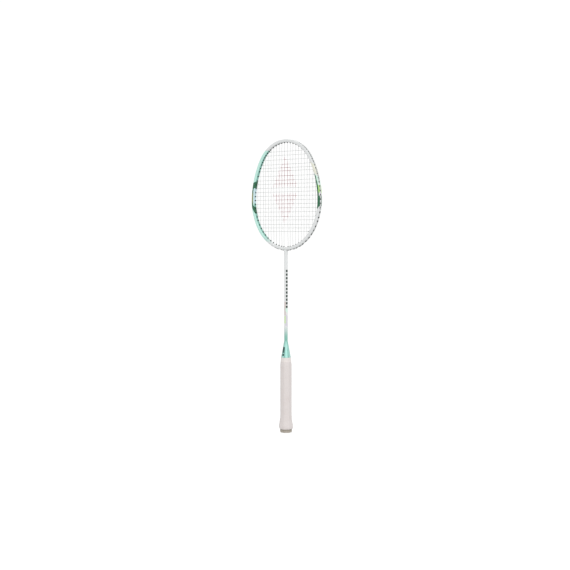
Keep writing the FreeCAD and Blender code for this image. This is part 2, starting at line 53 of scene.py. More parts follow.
def add_mesh(name, points, faces, material, node, sharp_degrees):
    """A mesh piece that stands for a CAD node, riding on the racket's one body."""
    mesh = bpy.data.meshes.new(name)
    mesh.from_pydata([tuple(c * MM for c in point) for point in points], [], faces)
    mesh.update()
    mesh.validate()
    mesh.polygons.foreach_set("use_smooth", [True] * len(mesh.polygons))
    piece = bpy.data.objects.new(name, mesh)
    bpy.context.collection.objects.link(piece)
    mesh.materials.append(material)
    mesh.set_sharp_from_angle(angle=math.radians(sharp_degrees))
    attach(piece, BODY)
    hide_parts(node)
    return piece


def bridge_rings(ring_count, ring_size, closed=False):
    """Quads between successive rings of points, each ring closed on itself."""
    faces = []
    last = ring_count if closed else ring_count - 1
    for ring in range(last):
        low, high = ring * ring_size, (ring + 1) % ring_count * ring_size
        for index in range(ring_size):
            after = (index + 1) % ring_size
            faces.append((low + index, low + after, high + after, high + index))
    return faces


def capped_loft(rings):
    """Points and faces of a closed solid through rings that run anticlockwise going up."""
    size = len(rings[0])
    points = [point for ring in rings for point in ring]
    faces = bridge_rings(len(rings), size)
    faces.append(tuple(reversed(range(size))))
    faces.append(tuple(range(len(points) - size, len(points))))
    return points, faces


# ---------------------------------------------------------------- the hoop's line

OVERALL_LENGTH = 675.0
HALF_WIDTH = 100.3
CROWN_HEIGHT, THROAT_HEIGHT = 140.2, 112.4
CROWN_RADIUS, THROAT_RADIUS = 85.4, 90.9
HALF_HOOP = 3.4
ARC_TURN = 30.0
WIDEST = OVERALL_LENGTH - CROWN_HEIGHT


def quarter_radii(end_radius, height):
    """Radii of a quarter's three tangent arcs, from the hoop's end to its side."""
    low, high = math.sin(math.radians(ARC_TURN)), math.sin(math.radians(2 * ARC_TURN))
    side_radius = end_radius + (height - HALF_WIDTH) / (high - low)
    middle_radius = (HALF_WIDTH - end_radius * low - side_radius * (1 - high)) / (high - low)
    return [end_radius, middle_radius, side_radius]


OUTLINE_RADII = (quarter_radii(CROWN_RADIUS, CROWN_HEIGHT)
                 + quarter_radii(THROAT_RADIUS, THROAT_HEIGHT)[::-1])
MIDDLE_RADII = [radius - HALF_HOOP for radius in OUTLINE_RADII]


def outward(angle):
    """The hoop's normal at an angle in degrees from the tip towards +X."""
    turn = math.radians(angle)
    return Vector((math.sin(turn), 0, math.cos(turn)))


def arc_centres():
    """Centres of the six arcs from the tip to the throat, on the +X side."""
    centre = UP * (OVERALL_LENGTH - OUTLINE_RADII[0])
    centres = [centre]
    for index in range(1, len(OUTLINE_RADII)):
        change = OUTLINE_RADII[index - 1] - OUTLINE_RADII[index]
        centre = centre + outward(index * ARC_TURN) * change
        centres.append(centre)
    return centres


CENTRES = arc_centres()


def hoop_point(angle, offset=0.0, lane=0.0):
    """A point at a normal angle, offset outward from the section's middle, lane behind it."""
    angle %= 360
    if angle > 180:
        mirrored = hoop_point(360 - angle, offset, lane)
        return Vector((-mirrored.x, mirrored.y, mirrored.z))
    index = min(int(angle // ARC_TURN), len(CENTRES) - 1)
    return CENTRES[index] + outward(angle) * (MIDDLE_RADII[index] + offset) + DEPTH * lane


def hoop_length(angle):
    """The length of the hoop's middle line from the tip to an angle."""
    whole = int(angle // ARC_TURN)
    rest = math.radians(angle - whole * ARC_TURN)
    length = sum(radius * math.radians(ARC_TURN) for radius in MIDDLE_RADII[:whole])
    return length + (MIDDLE_RADII[whole] * rest if rest > 0 else 0.0)


HALVINGS = 60


def find_angle(measure, low=0.0, high=180.0):
    """The angle where measure, which rises from low to high, passes zero."""
    for _ in range(HALVINGS):
        middle = (low + high) / 2
        if measure(middle) < 0:
            low = middle
        else:
            high = middle
    return (low + high) / 2


# ---------------------------------------------------------------- string holes

MAIN_PITCH, CROSS_PITCH = 8.1, 9.18
HALF_MAINS, CROSSES = 11, 21
FIRST_CROSS, LAST_CROSS = 647.4, 462.7
HOLE_SPACING, THROAT_CLEAR = 6.2, 6.5
SPACING_ROUNDS = 400
KNEE = 5.8              # where a string turns into its hole, inward from the hoop's middle
LANE = 0.45             # mains pass the hoop this far behind its middle, crosses in front
GROOVE_END = 101.6      # degrees from the tip; below this the strings lie on the plain hoop
CLIMB_START = 98.4      # degrees from the tip where a string starts to climb out of the groove
GROOVE_LEVEL, PLAIN_LEVEL = 2.98, 4.73      # of a string outside the hoop, from its middle
SHARED_HOLES = ((("main_top", 9), ("cross", 5)), (("main_top", 10), ("cross", 7)),
                (("main_bottom", 10), ("cross", 16)), (("main_bottom", 9), ("cross", 18)),
                (("main_bottom", 8), ("cross", 20)))


def knee_point(angle, lane=0.0):
    return hoop_point(angle, -KNEE, lane)


def natural_holes():
    """Hole angles on the +X half where straight strings reach the hoop."""
    holes = {}
    for index in range(HALF_MAINS):
        x = (index + 0.5) * MAIN_PITCH
        holes["main_top", index] = find_angle(lambda a: knee_point(a).x - x, 0, 90)
        holes["main_bottom", index] = find_angle(lambda a: x - knee_point(a).x, 90, 180)
    for index in range(CROSSES):
        z = LAST_CROSS if index == CROSSES - 1 else FIRST_CROSS - index * CROSS_PITCH
        holes["cross", index] = find_angle(lambda a: z - knee_point(a).z)
    return holes


def spaced_holes():
    """The same holes, some of them shared, and none closer than HOLE_SPACING."""
    lengths = {key: hoop_length(angle) for key, angle in natural_holes().items()}
    paired = [key for pair in SHARED_HOLES for key in pair]
    groups = list(SHARED_HOLES) + [(key,) for key in lengths if key not in paired]
    middle = {group: sum(lengths[key] for key in group) / len(group) for group in groups}
    order = sorted(groups, key=middle.get)
    places = [middle[group] for group in order]
    last = hoop_length(180) - THROAT_CLEAR
    for _ in range(SPACING_ROUNDS):
        places[-1] = min(places[-1], last)
        for index in range(len(places) - 1):
            lack = HOLE_SPACING - (places[index + 1] - places[index])
            if lack > 0:
                places[index] -= lack / 2
                places[index + 1] += lack / 2
    holes = {}
    for group, place in zip(order, places):
        angle = find_angle(lambda a: hoop_length(a) - place)
        holes.update({key: angle for key in group})
    return holes


HOLES = spaced_holes()
RIGHT_MAINS = [(HOLES["main_top", index], HOLES["main_bottom", index])
               for index in range(HALF_MAINS)]
MAINS = [(360 - top, 360 - bottom) for top, bottom in reversed(RIGHT_MAINS)] + RIGHT_MAINS
CROSS_STRINGS = [(360 - HOLES["cross", index], HOLES["cross", index])
                 for index in range(CROSSES)]


# ---------------------------------------------------------------- string routes

STRING_RADIUS = 0.35
STRING_SIDES = 8
WEAVE_HEIGHT = 0.36     # of each string's centre from the bed's middle at a crossing
LANE_KEEP = 3.6         # a string closer than this to its knee stays in its lane
RUN_STEP = 1.1
GROOVE_STEP = 0.8       # degrees of the hoop
KNEE_TRIM, CORNER_TRIM = 1.2, 0.8       # how far before a corner its curve starts
CORNER_STEPS = 5
STRING_END = 1.5        # a string's cut ends lie in their holes, this far out


def crossing(main, cross):
    """Where a main and a cross meet, or None if they don't or if they share a hole there."""
    top, bottom = knee_point(MAINS[main][0]), knee_point(MAINS[main][1])
    left, right = knee_point(CROSS_STRINGS[cross][0]), knee_point(CROSS_STRINGS[cross][1])
    down, over, gap = bottom - top, right - left, left - top
    scale = down.x * over.z - down.z * over.x
    along_main = (gap.x * over.z - gap.z * over.x) / scale
    along_cross = (gap.x * down.z - gap.z * down.x) / scale
    shared = {*MAINS[main]} & {*CROSS_STRINGS[cross]}
    if shared or not (0 < along_main < 1 and 0 < along_cross < 1):
        return None
    return top + down * along_main


def weave_side(main, cross, point):
    """+1 where the main passes behind the cross, -1 where it passes in front."""
    knees = [knee_point(angle) for angle in (*MAINS[main], *CROSS_STRINGS[cross])]
    if min((point - knee).length for knee in knees) < LANE_KEEP:
        return 1
    return 1 if (main + cross) % 2 == 0 else -1


def taut_run(angles, crossings, lane):
    """Points along one string across the bed, from knee to knee.

    crossings are (point, depth) pairs in order. Between them the depth eases from one
    side of the bed to the other.
    """
    start, end = knee_point(angles[0]), knee_point(angles[1])
    heading = (end - start).normalized()
    length = (end - start).length
    stations = [(0.0, lane)]
    stations += [((point - start).length, depth) for point, depth in crossings]
    stations.append((length, lane))
    points = []
    for (low, start_depth), (high, end_depth) in zip(stations, stations[1:]):
        count = max(2, round((high - low) / RUN_STEP))
        for index in range(count):
            part = index / count
            ease = (1 - math.cos(math.pi * part)) / 2
            depth = start_depth + (end_depth - start_depth) * ease
            along = low + (high - low) * part
            if KNEE_TRIM <= along <= length - KNEE_TRIM:
                points.append(start + heading * along + DEPTH * depth)
    return points


def main_run(main):
    found = [(crossing(main, cross), cross) for cross in range(CROSSES)]
    crossings = [(point, WEAVE_HEIGHT * weave_side(main, cross, point))
                 for point, cross in found if point is not None]
    return taut_run(MAINS[main], crossings, LANE)


def cross_run(cross):
    found = [(crossing(main, cross), main) for main in range(len(MAINS))]
    crossings = [(point, -WEAVE_HEIGHT * weave_side(main, cross, point))
                 for point, main in found if point is not None]
    return taut_run(CROSS_STRINGS[cross], crossings, -LANE)


def soft_corner(before, corner, after):
    """Points on a curve that takes the corner on its way from before to after."""
    parts = [index / CORNER_STEPS for index in range(CORNER_STEPS + 1)]
    return [before.lerp(corner, part).lerp(corner.lerp(after, part), part) for part in parts]


def through_hole(angle, neighbour, lane):
    """From a run's end at its knee, round the knee and up the hole, towards the groove."""
    inside = hoop_point(angle, KNEE_TRIM - KNEE, lane)
    return soft_corner(neighbour, knee_point(angle, lane), inside)


def outside_level(angle):
    """How far outward from the hoop's middle a string lies, in the groove or on the plain."""
    climbed = (min(angle % 360, -angle % 360) - CLIMB_START) / (GROOVE_END - CLIMB_START)
    return GROOVE_LEVEL + (PLAIN_LEVEL - GROOVE_LEVEL) * min(max(climbed, 0.0), 1.0)


def groove_path(leaving, arrival, lane):
    """Out of one hole, along the outside of the hoop and into the next hole."""
    def outside(angle, below=0.0):
        return hoop_point(angle, outside_level(angle) - below, lane)

    change = (arrival - leaving + 180) % 360 - 180
    turn = math.copysign(math.degrees(CORNER_TRIM / MIDDLE_RADII[0]), change)
    start = soft_corner(outside(leaving, CORNER_TRIM), outside(leaving),
                        outside(leaving + turn))
    end = soft_corner(outside(arrival - turn), outside(arrival),
                      outside(arrival, CORNER_TRIM))
    count = max(1, round(abs(change) / GROOVE_STEP))
    middle = [outside(leaving + turn + (change - 2 * turn) * index / count)
              for index in range(1, count)]
    return start + middle + end


def string_path(runs, angles, lane):
    """One string through all its runs, turning back at alternate ends of the bed."""
    path = []
    for index, (run, ends) in enumerate(zip(runs, angles)):
        forward = index % 2 == 1
        points = run if forward else run[::-1]
        entry, leaving = ends if forward else ends[::-1]
        if index == 0:
            path.append(hoop_point(entry, STRING_END, lane))
        path += through_hole(entry, points[0], lane)[::-1]
        path += points[1:-1]
        path += through_hole(leaving, points[-1], lane)
        if index == len(runs) - 1:
            path.append(hoop_point(leaving, STRING_END, lane))
        else:
            following = angles[index + 1]
            path += groove_path(leaving, following[1] if forward else following[0], lane)
    return path


def tube(path, radius, across=DEPTH):
    """Rings round a path that never runs along across."""
    rings = []
    for index, point in enumerate(path):
        ahead, back = path[min(index + 1, len(path) - 1)], path[max(index - 1, 0)]
        tangent = (ahead - back).normalized()
        first = tangent.cross(across).normalized()
        second = tangent.cross(first)
        turns = [math.tau * side / STRING_SIDES for side in range(STRING_SIDES)]
        rings.append([point + (first * math.cos(turn) + second * math.sin(turn)) * radius
                      for turn in turns])
    return rings


# ---------------------------------------------------------------- stencil on the strings

STENCIL_CENTRE = Vector((-2.5, 0, 559.0))
STENCIL_HALF_WIDTH, STENCIL_HALF_HEIGHT, STENCIL_GAP = 41.5, 80.0, 6.0


def in_stencil(point):
    """True inside a plain upright rhombus that a level gap splits in two."""
    place = point - STENCIL_CENTRE
    inside = abs(place.x) / STENCIL_HALF_WIDTH + abs(place.z) / STENCIL_HALF_HEIGHT < 1
    return inside and abs(place.z) > STENCIL_GAP


def make_string(name, path, node, materials):
    """One string along its path, plain outside the stencil and inked inside it."""
    points, faces = capped_loft(tube(path, STRING_RADIUS))
    piece = add_mesh(name, points, faces, materials[0], node, 50)
    piece.data.materials.append(materials[1])
    inked = [in_stencil(path[index]) and in_stencil(path[index + 1])
             for index in range(len(path) - 1)]
    slots = [int(flag) for flag in inked for _ in range(STRING_SIDES)]
    end_caps = [0, 0]
    piece.data.polygons.foreach_set("material_index", slots + end_caps)


# ---------------------------------------------------------------- knots

KNOT_TURNS, KNOT_PITCH, KNOT_RADIUS = 2.6, 0.7, 0.69
KNOT_STRING_RADIUS = 0.33
KNOT_START, KNOT_STEPS, TAIL_LENGTH = 0.7, 18, 1.6


def knot_rings(knee, heading):
    """A string wound round another that runs along heading, ending in a short cut tail."""
    first = heading.cross(DEPTH).normalized()
    second = heading.cross(first)
    path = []
    for index in range(round(KNOT_TURNS * KNOT_STEPS) + 1):
        turn = math.tau * index / KNOT_STEPS
        along = KNOT_START + KNOT_PITCH * index / KNOT_STEPS
        around = first * math.cos(turn) + second * math.sin(turn)
        path.append(knee + heading * along + around * KNOT_RADIUS)
    leaving = (path[-1] - path[-2]).normalized()
    path.append(path[-1] + leaving * TAIL_LENGTH)
    return tube(path, KNOT_STRING_RADIUS, heading)


def make_knots(material):
    """Both mains end at the throat; the crosses end top left and bottom right."""
    last = CROSSES - 1
    ends = [(MAINS[0][1], MAINS[0][0], LANE), (MAINS[-1][1], MAINS[-1][0], LANE),
            (CROSS_STRINGS[0][0], CROSS_STRINGS[0][1], -LANE),
            (CROSS_STRINGS[last][1], CROSS_STRINGS[last][0], -LANE)]
    points, faces = [], []
    for near, far, lane in ends:
        knee = knee_point(near, lane)
        heading = (knee_point(far, lane) - knee).normalized()
        knot_points, knot_faces = capped_loft(knot_rings(knee, heading))
        faces += [tuple(index + len(points) for index in face) for face in knot_faces]
        points += knot_points
    add_mesh("tie_off_knots", points, faces, material, "string_knots", 50)


# ---------------------------------------------------------------- handle pieces

RING_SIDES = 128
GRIP_HALF = 12.75
WRAP_LOW, WRAP_HIGH = 8.0, 174.5
WRAP_PROFILE = ((8.0, 14.2), (9.2, 15.2), (12.0, 15.85), (15.0, 15.8), (20.0, 15.1),
                (28.0, 13.8), (36.0, 13.0), (44.0, GRIP_HALF), (157.0, GRIP_HALF),
                (166.0, 11.7), (174.5, 10.6))
WOOD_PROFILE = ((8.0, 13.1), (14.0, 13.5), (24.0, 12.1), (42.0, 10.7), (157.0, 10.7),
                (174.5, 8.9))
WRAP_SHARPNESS = 26
SEAM_PITCH, SEAM_STEP, SEAM_TAPER = 25.0, 0.2, 1.6
SEAM_PHASES = (0.0, 0.006, 0.014, 0.026, 0.045, 0.08, 0.13, 0.19, 0.26, 0.33, 0.4, 0.47, 0.54,
               0.61, 0.68, 0.75, 0.82, 0.88, 0.93, 0.965, 0.985, 0.994)
SEAM_FADE_LOW, SEAM_FADE_HIGH = 4.0, 8.0    # lengths over which the seams sink at the ends
TAPE_LOW, TAPE_PROUD, TAPE_ROUNDING, TAPE_GAP = 164.0, 0.27, 0.12, 0.02
SEAM_TOP = TAPE_LOW - 2
TAPE_BANDS = 8
WRAP_SIDES = 96


def soft_octagon(angle, half_width, sharpness):
    """Distance from the axis to an octagon with rounded corners, crisper when sharper."""
    total = sum(abs(math.cos(angle - side * math.pi / 4)) ** sharpness for side in range(4))
    return half_width * total ** (-1 / sharpness)


def true_octagon(angle, half_width):
    from_corner = (angle + math.pi / 8) % (math.pi / 4) - math.pi / 8
    return half_width / math.cos(from_corner)


def smooth_profile(stations, height):
    """A cubic through (height, value) stations, flat wherever it turns back."""
    def secant(index):
        (low, start), (high, end) = stations[index], stations[index + 1]
        return (end - start) / (high - low)

    def slope(index):
        if index in (0, len(stations) - 1):
            return secant(min(index, len(stations) - 2))
        before, after = secant(index - 1), secant(index)
        return 0.0 if before * after <= 0 else 2 * before * after / (before + after)

    height = min(max(height, stations[0][0]), stations[-1][0])
    index = next(i for i in range(len(stations) - 1) if height <= stations[i + 1][0])
    (low, start), (high, end) = stations[index], stations[index + 1]
    span = high - low
    part = (height - low) / span
    blend = part * part * (3 - 2 * part)
    value = start + (end - start) * blend
    value += span * slope(index) * part * (1 - part) ** 2
    return value - span * slope(index + 1) * part * part * (1 - part)


def ring(radius_at, height, sides=RING_SIDES):
    """A level ring of points whose radius is a number or depends on the angle."""
    points = []
    for index in range(sides):
        angle = math.tau * index / sides
        radius = radius_at(angle) if callable(radius_at) else radius_at
        points.append(Vector((radius * math.cos(angle), radius * math.sin(angle), height)))
    return points


def seam_height(phase, height):
    """How far the wrap stands proud: each turn overlaps the turn below it."""
    rounding = min(1.0, phase / SEAM_PHASES[3]) ** 0.5
    fade = min(1.0, max(0.0, (SEAM_TOP - height) / SEAM_FADE_HIGH))
    fade *= min(1.0, (height - WRAP_LOW) / SEAM_FADE_LOW)
    return SEAM_STEP * rounding * (1 - phase) ** SEAM_TAPER * fade


def make_grip(material):
    """A helical strip whose turns lap over each other, closed inside against the wood."""
    points, numbers, faces = [], {}, []

    def vertex(row, column):
        turn, step = divmod(row, len(SEAM_PHASES))
        phase = SEAM_PHASES[step]
        height = WRAP_LOW + SEAM_PITCH * (turn - 1 + phase + column / WRAP_SIDES)
        height = min(max(height, WRAP_LOW), WRAP_HIGH)
        key = (column, round(height, 3))
        if key not in numbers:
            angle = math.tau * column / WRAP_SIDES
            radius = soft_octagon(angle, smooth_profile(WRAP_PROFILE, height), WRAP_SHARPNESS)
            radius += seam_height(phase, height)
            numbers[key] = len(points)
            points.append((radius * math.cos(angle), radius * math.sin(angle), height))
        return numbers[key]

    turns = math.ceil((WRAP_HIGH - WRAP_LOW) / SEAM_PITCH) + 1
    rows = turns * len(SEAM_PHASES)
    for row in range(rows):
        for column in range(WRAP_SIDES):
            after, lift = (column + 1, 0) if column + 1 < WRAP_SIDES else (0, len(SEAM_PHASES))
            corners = [vertex(row, column), vertex(row + lift, after),
                       vertex(row + lift + 1, after), vertex(row + 1, column)]
            loop = [number for index, number in enumerate(corners)
                    if number != corners[index - 1]]
            if len(set(loop)) > 2:
                faces.append(tuple(loop))

    def inner(angle, height):
        return true_octagon(angle, smooth_profile(WOOD_PROFILE, height))

    levels = [WRAP_LOW] + [height for height, _ in WOOD_PROFILE[1:-1]] + [WRAP_HIGH]
    first = len(points)
    top = first + (len(levels) - 1) * WRAP_SIDES
    for height in levels:
        points += ring(lambda angle: inner(angle, height), height, WRAP_SIDES)
    faces += [tuple(first + index for index in reversed(face))
              for face in bridge_rings(len(levels), WRAP_SIDES)]
    for column in range(WRAP_SIDES):
        after = (column + 1) % WRAP_SIDES
        low = [numbers[index, WRAP_LOW] for index in (column, after)]
        high = [numbers[index, WRAP_HIGH] for index in (column, after)]
        faces.append((first + column, first + after, low[1], low[0]))
        faces.append((high[0], high[1], top + after, top + column))
    add_mesh("wound_grip", points, faces, material, "grip_wrap", 32)


def make_tape(material):
    """A thin band round the top of the wrap, with rounded edges."""
    def outside(height, proud):
        half = smooth_profile(WRAP_PROFILE, height)
        return lambda angle: soft_octagon(angle, half, WRAP_SHARPNESS) + proud

    edge = TAPE_ROUNDING
    stations = [(TAPE_LOW, TAPE_PROUD - edge), (TAPE_LOW + edge, TAPE_PROUD)]
    stations += [(TAPE_LOW + (WRAP_HIGH - TAPE_LOW) * band / TAPE_BANDS, TAPE_PROUD)
                 for band in range(1, TAPE_BANDS)]
    stations += [(WRAP_HIGH - edge, TAPE_PROUD), (WRAP_HIGH, TAPE_PROUD - edge)]
    inner = [(height, TAPE_GAP) for height, _ in reversed(stations)]
    rings = [ring(outside(height, proud), height) for height, proud in stations + inner]
    points = [point for circle in rings for point in circle]
    faces = bridge_rings(len(rings), RING_SIDES, closed=True)
    add_mesh("grip_end_tape", points, faces, material, "finishing_tape", 40)


CAP_SHARPNESS = 44
CAP_HOLLOW, CAP_FLOOR, CAP_TOP = 11.32, 3.0, 8.0
BADGE_SIDES, BADGE_RELIEF = 96, 0.22


def make_butt_cap(material):
    """An octagonal cup with rounded rims and a round recess for the badge."""
    def flat(half_width):
        return lambda angle: soft_octagon(angle, half_width, CAP_SHARPNESS)

    recess = [(8.0, 0.7), (8.0, 0.15), (8.15, 0.0)]
    rims = [(flat(11.9), 0.0), (flat(12.5), 0.18), (flat(12.95), 0.6), (flat(13.2), 1.2),
            (flat(13.3), 1.9), (flat(13.3), 7.6), (flat(13.2), 7.9), (flat(13.0), CAP_TOP)]
    hollow = [(lambda angle: true_octagon(angle, CAP_HOLLOW), height)
              for height in (CAP_TOP, CAP_FLOOR)]
    points, faces = capped_loft([ring(radius, height)
                                 for radius, height in recess + rims + hollow])
    add_mesh("butt_cup", points, faces, material, "butt_cap", 35)


def make_badge(material):
    """A domed disc with two raised rings and a raised centre, all plain."""
    relief = BADGE_RELIEF
    profile = [(2.0, 0.0), (2.3, relief), (4.1, relief), (4.4, 0.0), (5.0, 0.0), (5.3, relief),
               (6.7, relief), (7.0, 0.05), (7.6, 0.05), (7.93, 0.25), (7.93, 0.69)]
    points, faces = capped_loft([ring(radius, height, BADGE_SIDES)
                                 for radius, height in profile])
    add_mesh("butt_medallion", points, faces, material, "butt_badge", 30)


CONE_TOP, CONE_HALF, CONE_TIP_RADIUS, CONE_ROUND_RADIUS = 212.0, 10.7, 4.3, 12.5
CONE_SHARPNESS, CONE_BLEND, CONE_STEPS = 70, 60, 24
CONE_HOLLOW = 8.92      # half the hollow's width, across its flats at the grip
CONE_RIM = ((0.06, 0.35), (0.0, 0.1), (-0.12, 0.0))     # beyond the tip's radius, below it
SHAFT_RADIUS, SHAFT_GAP, WOOD_END = 4.0, 0.04, 190.0


def make_cone(material):
    """Eight facets at the grip that round off into the shaft, over a hollow for the wood."""
    length = CONE_TOP - WRAP_HIGH

    def facets(part, trim=0.0):
        half = CONE_HALF + (CONE_TIP_RADIUS - CONE_HALF) * part - trim
        cone = CONE_ROUND_RADIUS + (CONE_TIP_RADIUS - CONE_ROUND_RADIUS) * part - trim

        def radius(angle):
            octagon = soft_octagon(angle, half, CONE_SHARPNESS)
            return (octagon ** -CONE_BLEND + cone ** -CONE_BLEND) ** (-1 / CONE_BLEND)
        return radius

    rings = [ring(facets(0, 0.35), WRAP_HIGH), ring(facets(0, 0.08), WRAP_HIGH + 0.15),
             ring(facets(0.01), WRAP_HIGH + 0.5)]
    rings += [ring(facets(step / CONE_STEPS), WRAP_HIGH + length * step / CONE_STEPS)
              for step in range(1, CONE_STEPS)]
    bore = SHAFT_RADIUS + SHAFT_GAP
    rings += [ring(CONE_TIP_RADIUS + swell, CONE_TOP - below) for swell, below in CONE_RIM]
    rings += [ring(bore, CONE_TOP), ring(bore, WOOD_END)]
    rings.append(ring(lambda angle: true_octagon(angle, CONE_HOLLOW), WRAP_HIGH))
    points = [point for circle in rings for point in circle]
    faces = bridge_rings(len(rings), RING_SIDES, closed=True)
    add_mesh("cone_shell", points, faces, material, "cone_cap", 32)


# ---------------------------------------------------------------- shader helpers

def colour(text):
    """A shader colour from a display colour such as "#dfe4e2"."""
    channels = [int(text[index:index + 2], 16) / 255 for index in (1, 3, 5)]
    linear = [c / 12.92 if c <= 0.04045 else ((c + 0.055) / 1.055) ** 2.4 for c in channels]
    return (*linear, 1.0)


class Value:
    """A number in a node tree. Arithmetic on it adds Math nodes."""

    def __init__(self, tree, socket):
        self.tree, self.socket = tree, socket

    def math(self, operation, *others):
        node = self.tree.nodes.new("ShaderNodeMath")
        node.operation = operation
        for entry, value in zip(node.inputs, (self, *others)):
            if isinstance(value, Value):
                self.tree.links.new(value.socket, entry)
            else:
                entry.default_value = value
        return Value(self.tree, node.outputs[0])

    def __add__(self, other):
        return self.math("ADD", other)

    def __sub__(self, other):
        return self.math("SUBTRACT", other)

    def __mul__(self, other):
        return self.math("MULTIPLY", other)

    def __truediv__(self, other):
        return self.math("DIVIDE", other)

    def step(self, low, high):
        """0 below low and 1 above high, eased between."""
        node = self.tree.nodes.new("ShaderNodeMapRange")
        node.interpolation_type = "SMOOTHSTEP"
        self.tree.links.new(self.socket, node.inputs["Value"])
        node.inputs["From Min"].default_value = low
        node.inputs["From Max"].default_value = high
        return Value(self.tree, node.outputs["Result"])

    def over(self, edge, soft=0.3):
        return self.step(edge - soft, edge + soft)

    def under(self, edge, soft=0.3):
        return self.over(edge, soft).inverse()

    def within(self, low, high, soft=0.3):
        return self.over(low, soft) * self.under(high, soft)

    def inverse(self):
        return self * -1.0 + 1.0

    def size(self):
        return self.math("ABSOLUTE")


MIX_COLOUR_INPUTS, MIX_COLOUR_OUTPUT = (0, 6, 7), 2     # a Mix node's colour sockets


class Surface:
    """A procedural material on one Principled shader, painted in layers.

    Places are in millimetres in the object's own frame.
    """

    def __init__(self, name, base, **settings):
        self.material = bpy.data.materials.new(name)
        self.material.use_nodes = True
        self.tree = self.material.node_tree
        self.shader = self.tree.nodes["Principled BSDF"]
        for key, value in settings.items():
            socket = key.replace("_", " ").title().replace("Ior", "IOR")
            self.shader.inputs[socket].default_value = value
        self.place = self.tree.nodes.new("ShaderNodeVectorMath")
        self.place.operation = "SCALE"
        self.place.inputs["Scale"].default_value = 1 / MM
        where = self.tree.nodes.new("ShaderNodeTexCoord")
        self.tree.links.new(where.outputs["Object"], self.place.inputs[0])
        axes = self.tree.nodes.new("ShaderNodeSeparateXYZ")
        self.tree.links.new(self.place.outputs[0], axes.inputs[0])
        self.x, self.y, self.z = (Value(self.tree, output) for output in axes.outputs)
        self.paint = None
        self.base = colour(base)

    def texture(self, kind, spans):
        """A texture node whose pattern is spread over spans millimetres on each axis."""
        scaled = self.tree.nodes.new("ShaderNodeVectorMath")
        scaled.operation = "DIVIDE"
        self.tree.links.new(self.place.outputs[0], scaled.inputs[0])
        scaled.inputs[1].default_value = spans
        node = self.tree.nodes.new(kind)
        node.inputs["Scale"].default_value = 1.0
        self.tree.links.new(scaled.outputs[0], node.inputs["Vector"])
        return node

    def noise(self, grain, detail=2.0, stretch=(1, 1, 1)):
        """Noise with features about grain millimetres across."""
        node = self.texture("ShaderNodeTexNoise", [grain * part for part in stretch])
        node.inputs["Detail"].default_value = detail
        return Value(self.tree, node.outputs["Fac"])

    def cells(self, grain):
        """Distance to the nearest of cells about grain millimetres across."""
        node = self.texture("ShaderNodeTexVoronoi", [grain] * 3)
        return Value(self.tree, node.outputs["Distance"])

    def layer(self, text, mask):
        """Lays a colour over the paint so far wherever the mask is 1."""
        node = self.tree.nodes.new("ShaderNodeMix")
        node.data_type = "RGBA"
        factor, first, second = (node.inputs[index] for index in MIX_COLOUR_INPUTS)
        if self.paint is None:
            first.default_value = self.base
        else:
            self.tree.links.new(self.paint, first)
        second.default_value = colour(text)
        self.tree.links.new(mask.socket, factor)
        self.paint = node.outputs[MIX_COLOUR_OUTPUT]
        return self

    def roughness(self, value):
        self.tree.links.new(value.socket, self.shader.inputs["Roughness"])
        return self

    def bump(self, height, depth):
        """Raises the surface by depth millimetres where height is 1."""
        node = self.tree.nodes.new("ShaderNodeBump")
        node.inputs["Strength"].default_value = 1.0
        node.inputs["Distance"].default_value = depth * MM
        self.tree.links.new(height.socket, node.inputs["Height"])
        self.tree.links.new(node.outputs[0], self.shader.inputs["Normal"])
        return self

    def done(self):
        if self.paint is None:
            self.shader.inputs["Base Color"].default_value = self.base
        else:
            self.tree.links.new(self.paint, self.shader.inputs["Base Color"])
        return self.material


# ---------------------------------------------------------------- painted surfaces

# The darker mint is the shaft's own colour low down, and painted shade on the hoop's walls.
WHITE, MINT, DEEP_MINT_AND_WALL_SHADE, DEEP_GREEN = "#d8dada", "#b8e1d6", "#7db6a8", "#1c6241"
ICE, OLIVE, LIME, CREAM, PALE_MINT = "#c3dde2", "#82895a", "#a4d273", "#dcdccd", "#c9e6d8"
INK_GREEN, LILAC, PALE_LIME, ROSE_GREY = "#0d2c1e", "#cbc8d2", "#c4dbab", "#c9bebb"
DASHES, DASH_LOW, DASH_PITCH = 11, 287.5, 8.25
LACQUER = {"roughness": 0.4, "coat_weight": 0.15, "coat_roughness": 0.1}
LACQUER_GRAIN, LACQUER_RELIEF = 1.6, 0.006


def hoop_offset(surface):
    """Distance outward from the hoop's middle line, true along its side arcs."""
    rise = surface.z - WIDEST

    def from_arc(index):
        run = surface.x.size() - CENTRES[index].x
        return (run * run + rise * rise).math("SQRT") - MIDDLE_RADII[index]

    above = surface.z.over(WIDEST, 0.01)
    return from_arc(2) * above + from_arc(3) * above.inverse()


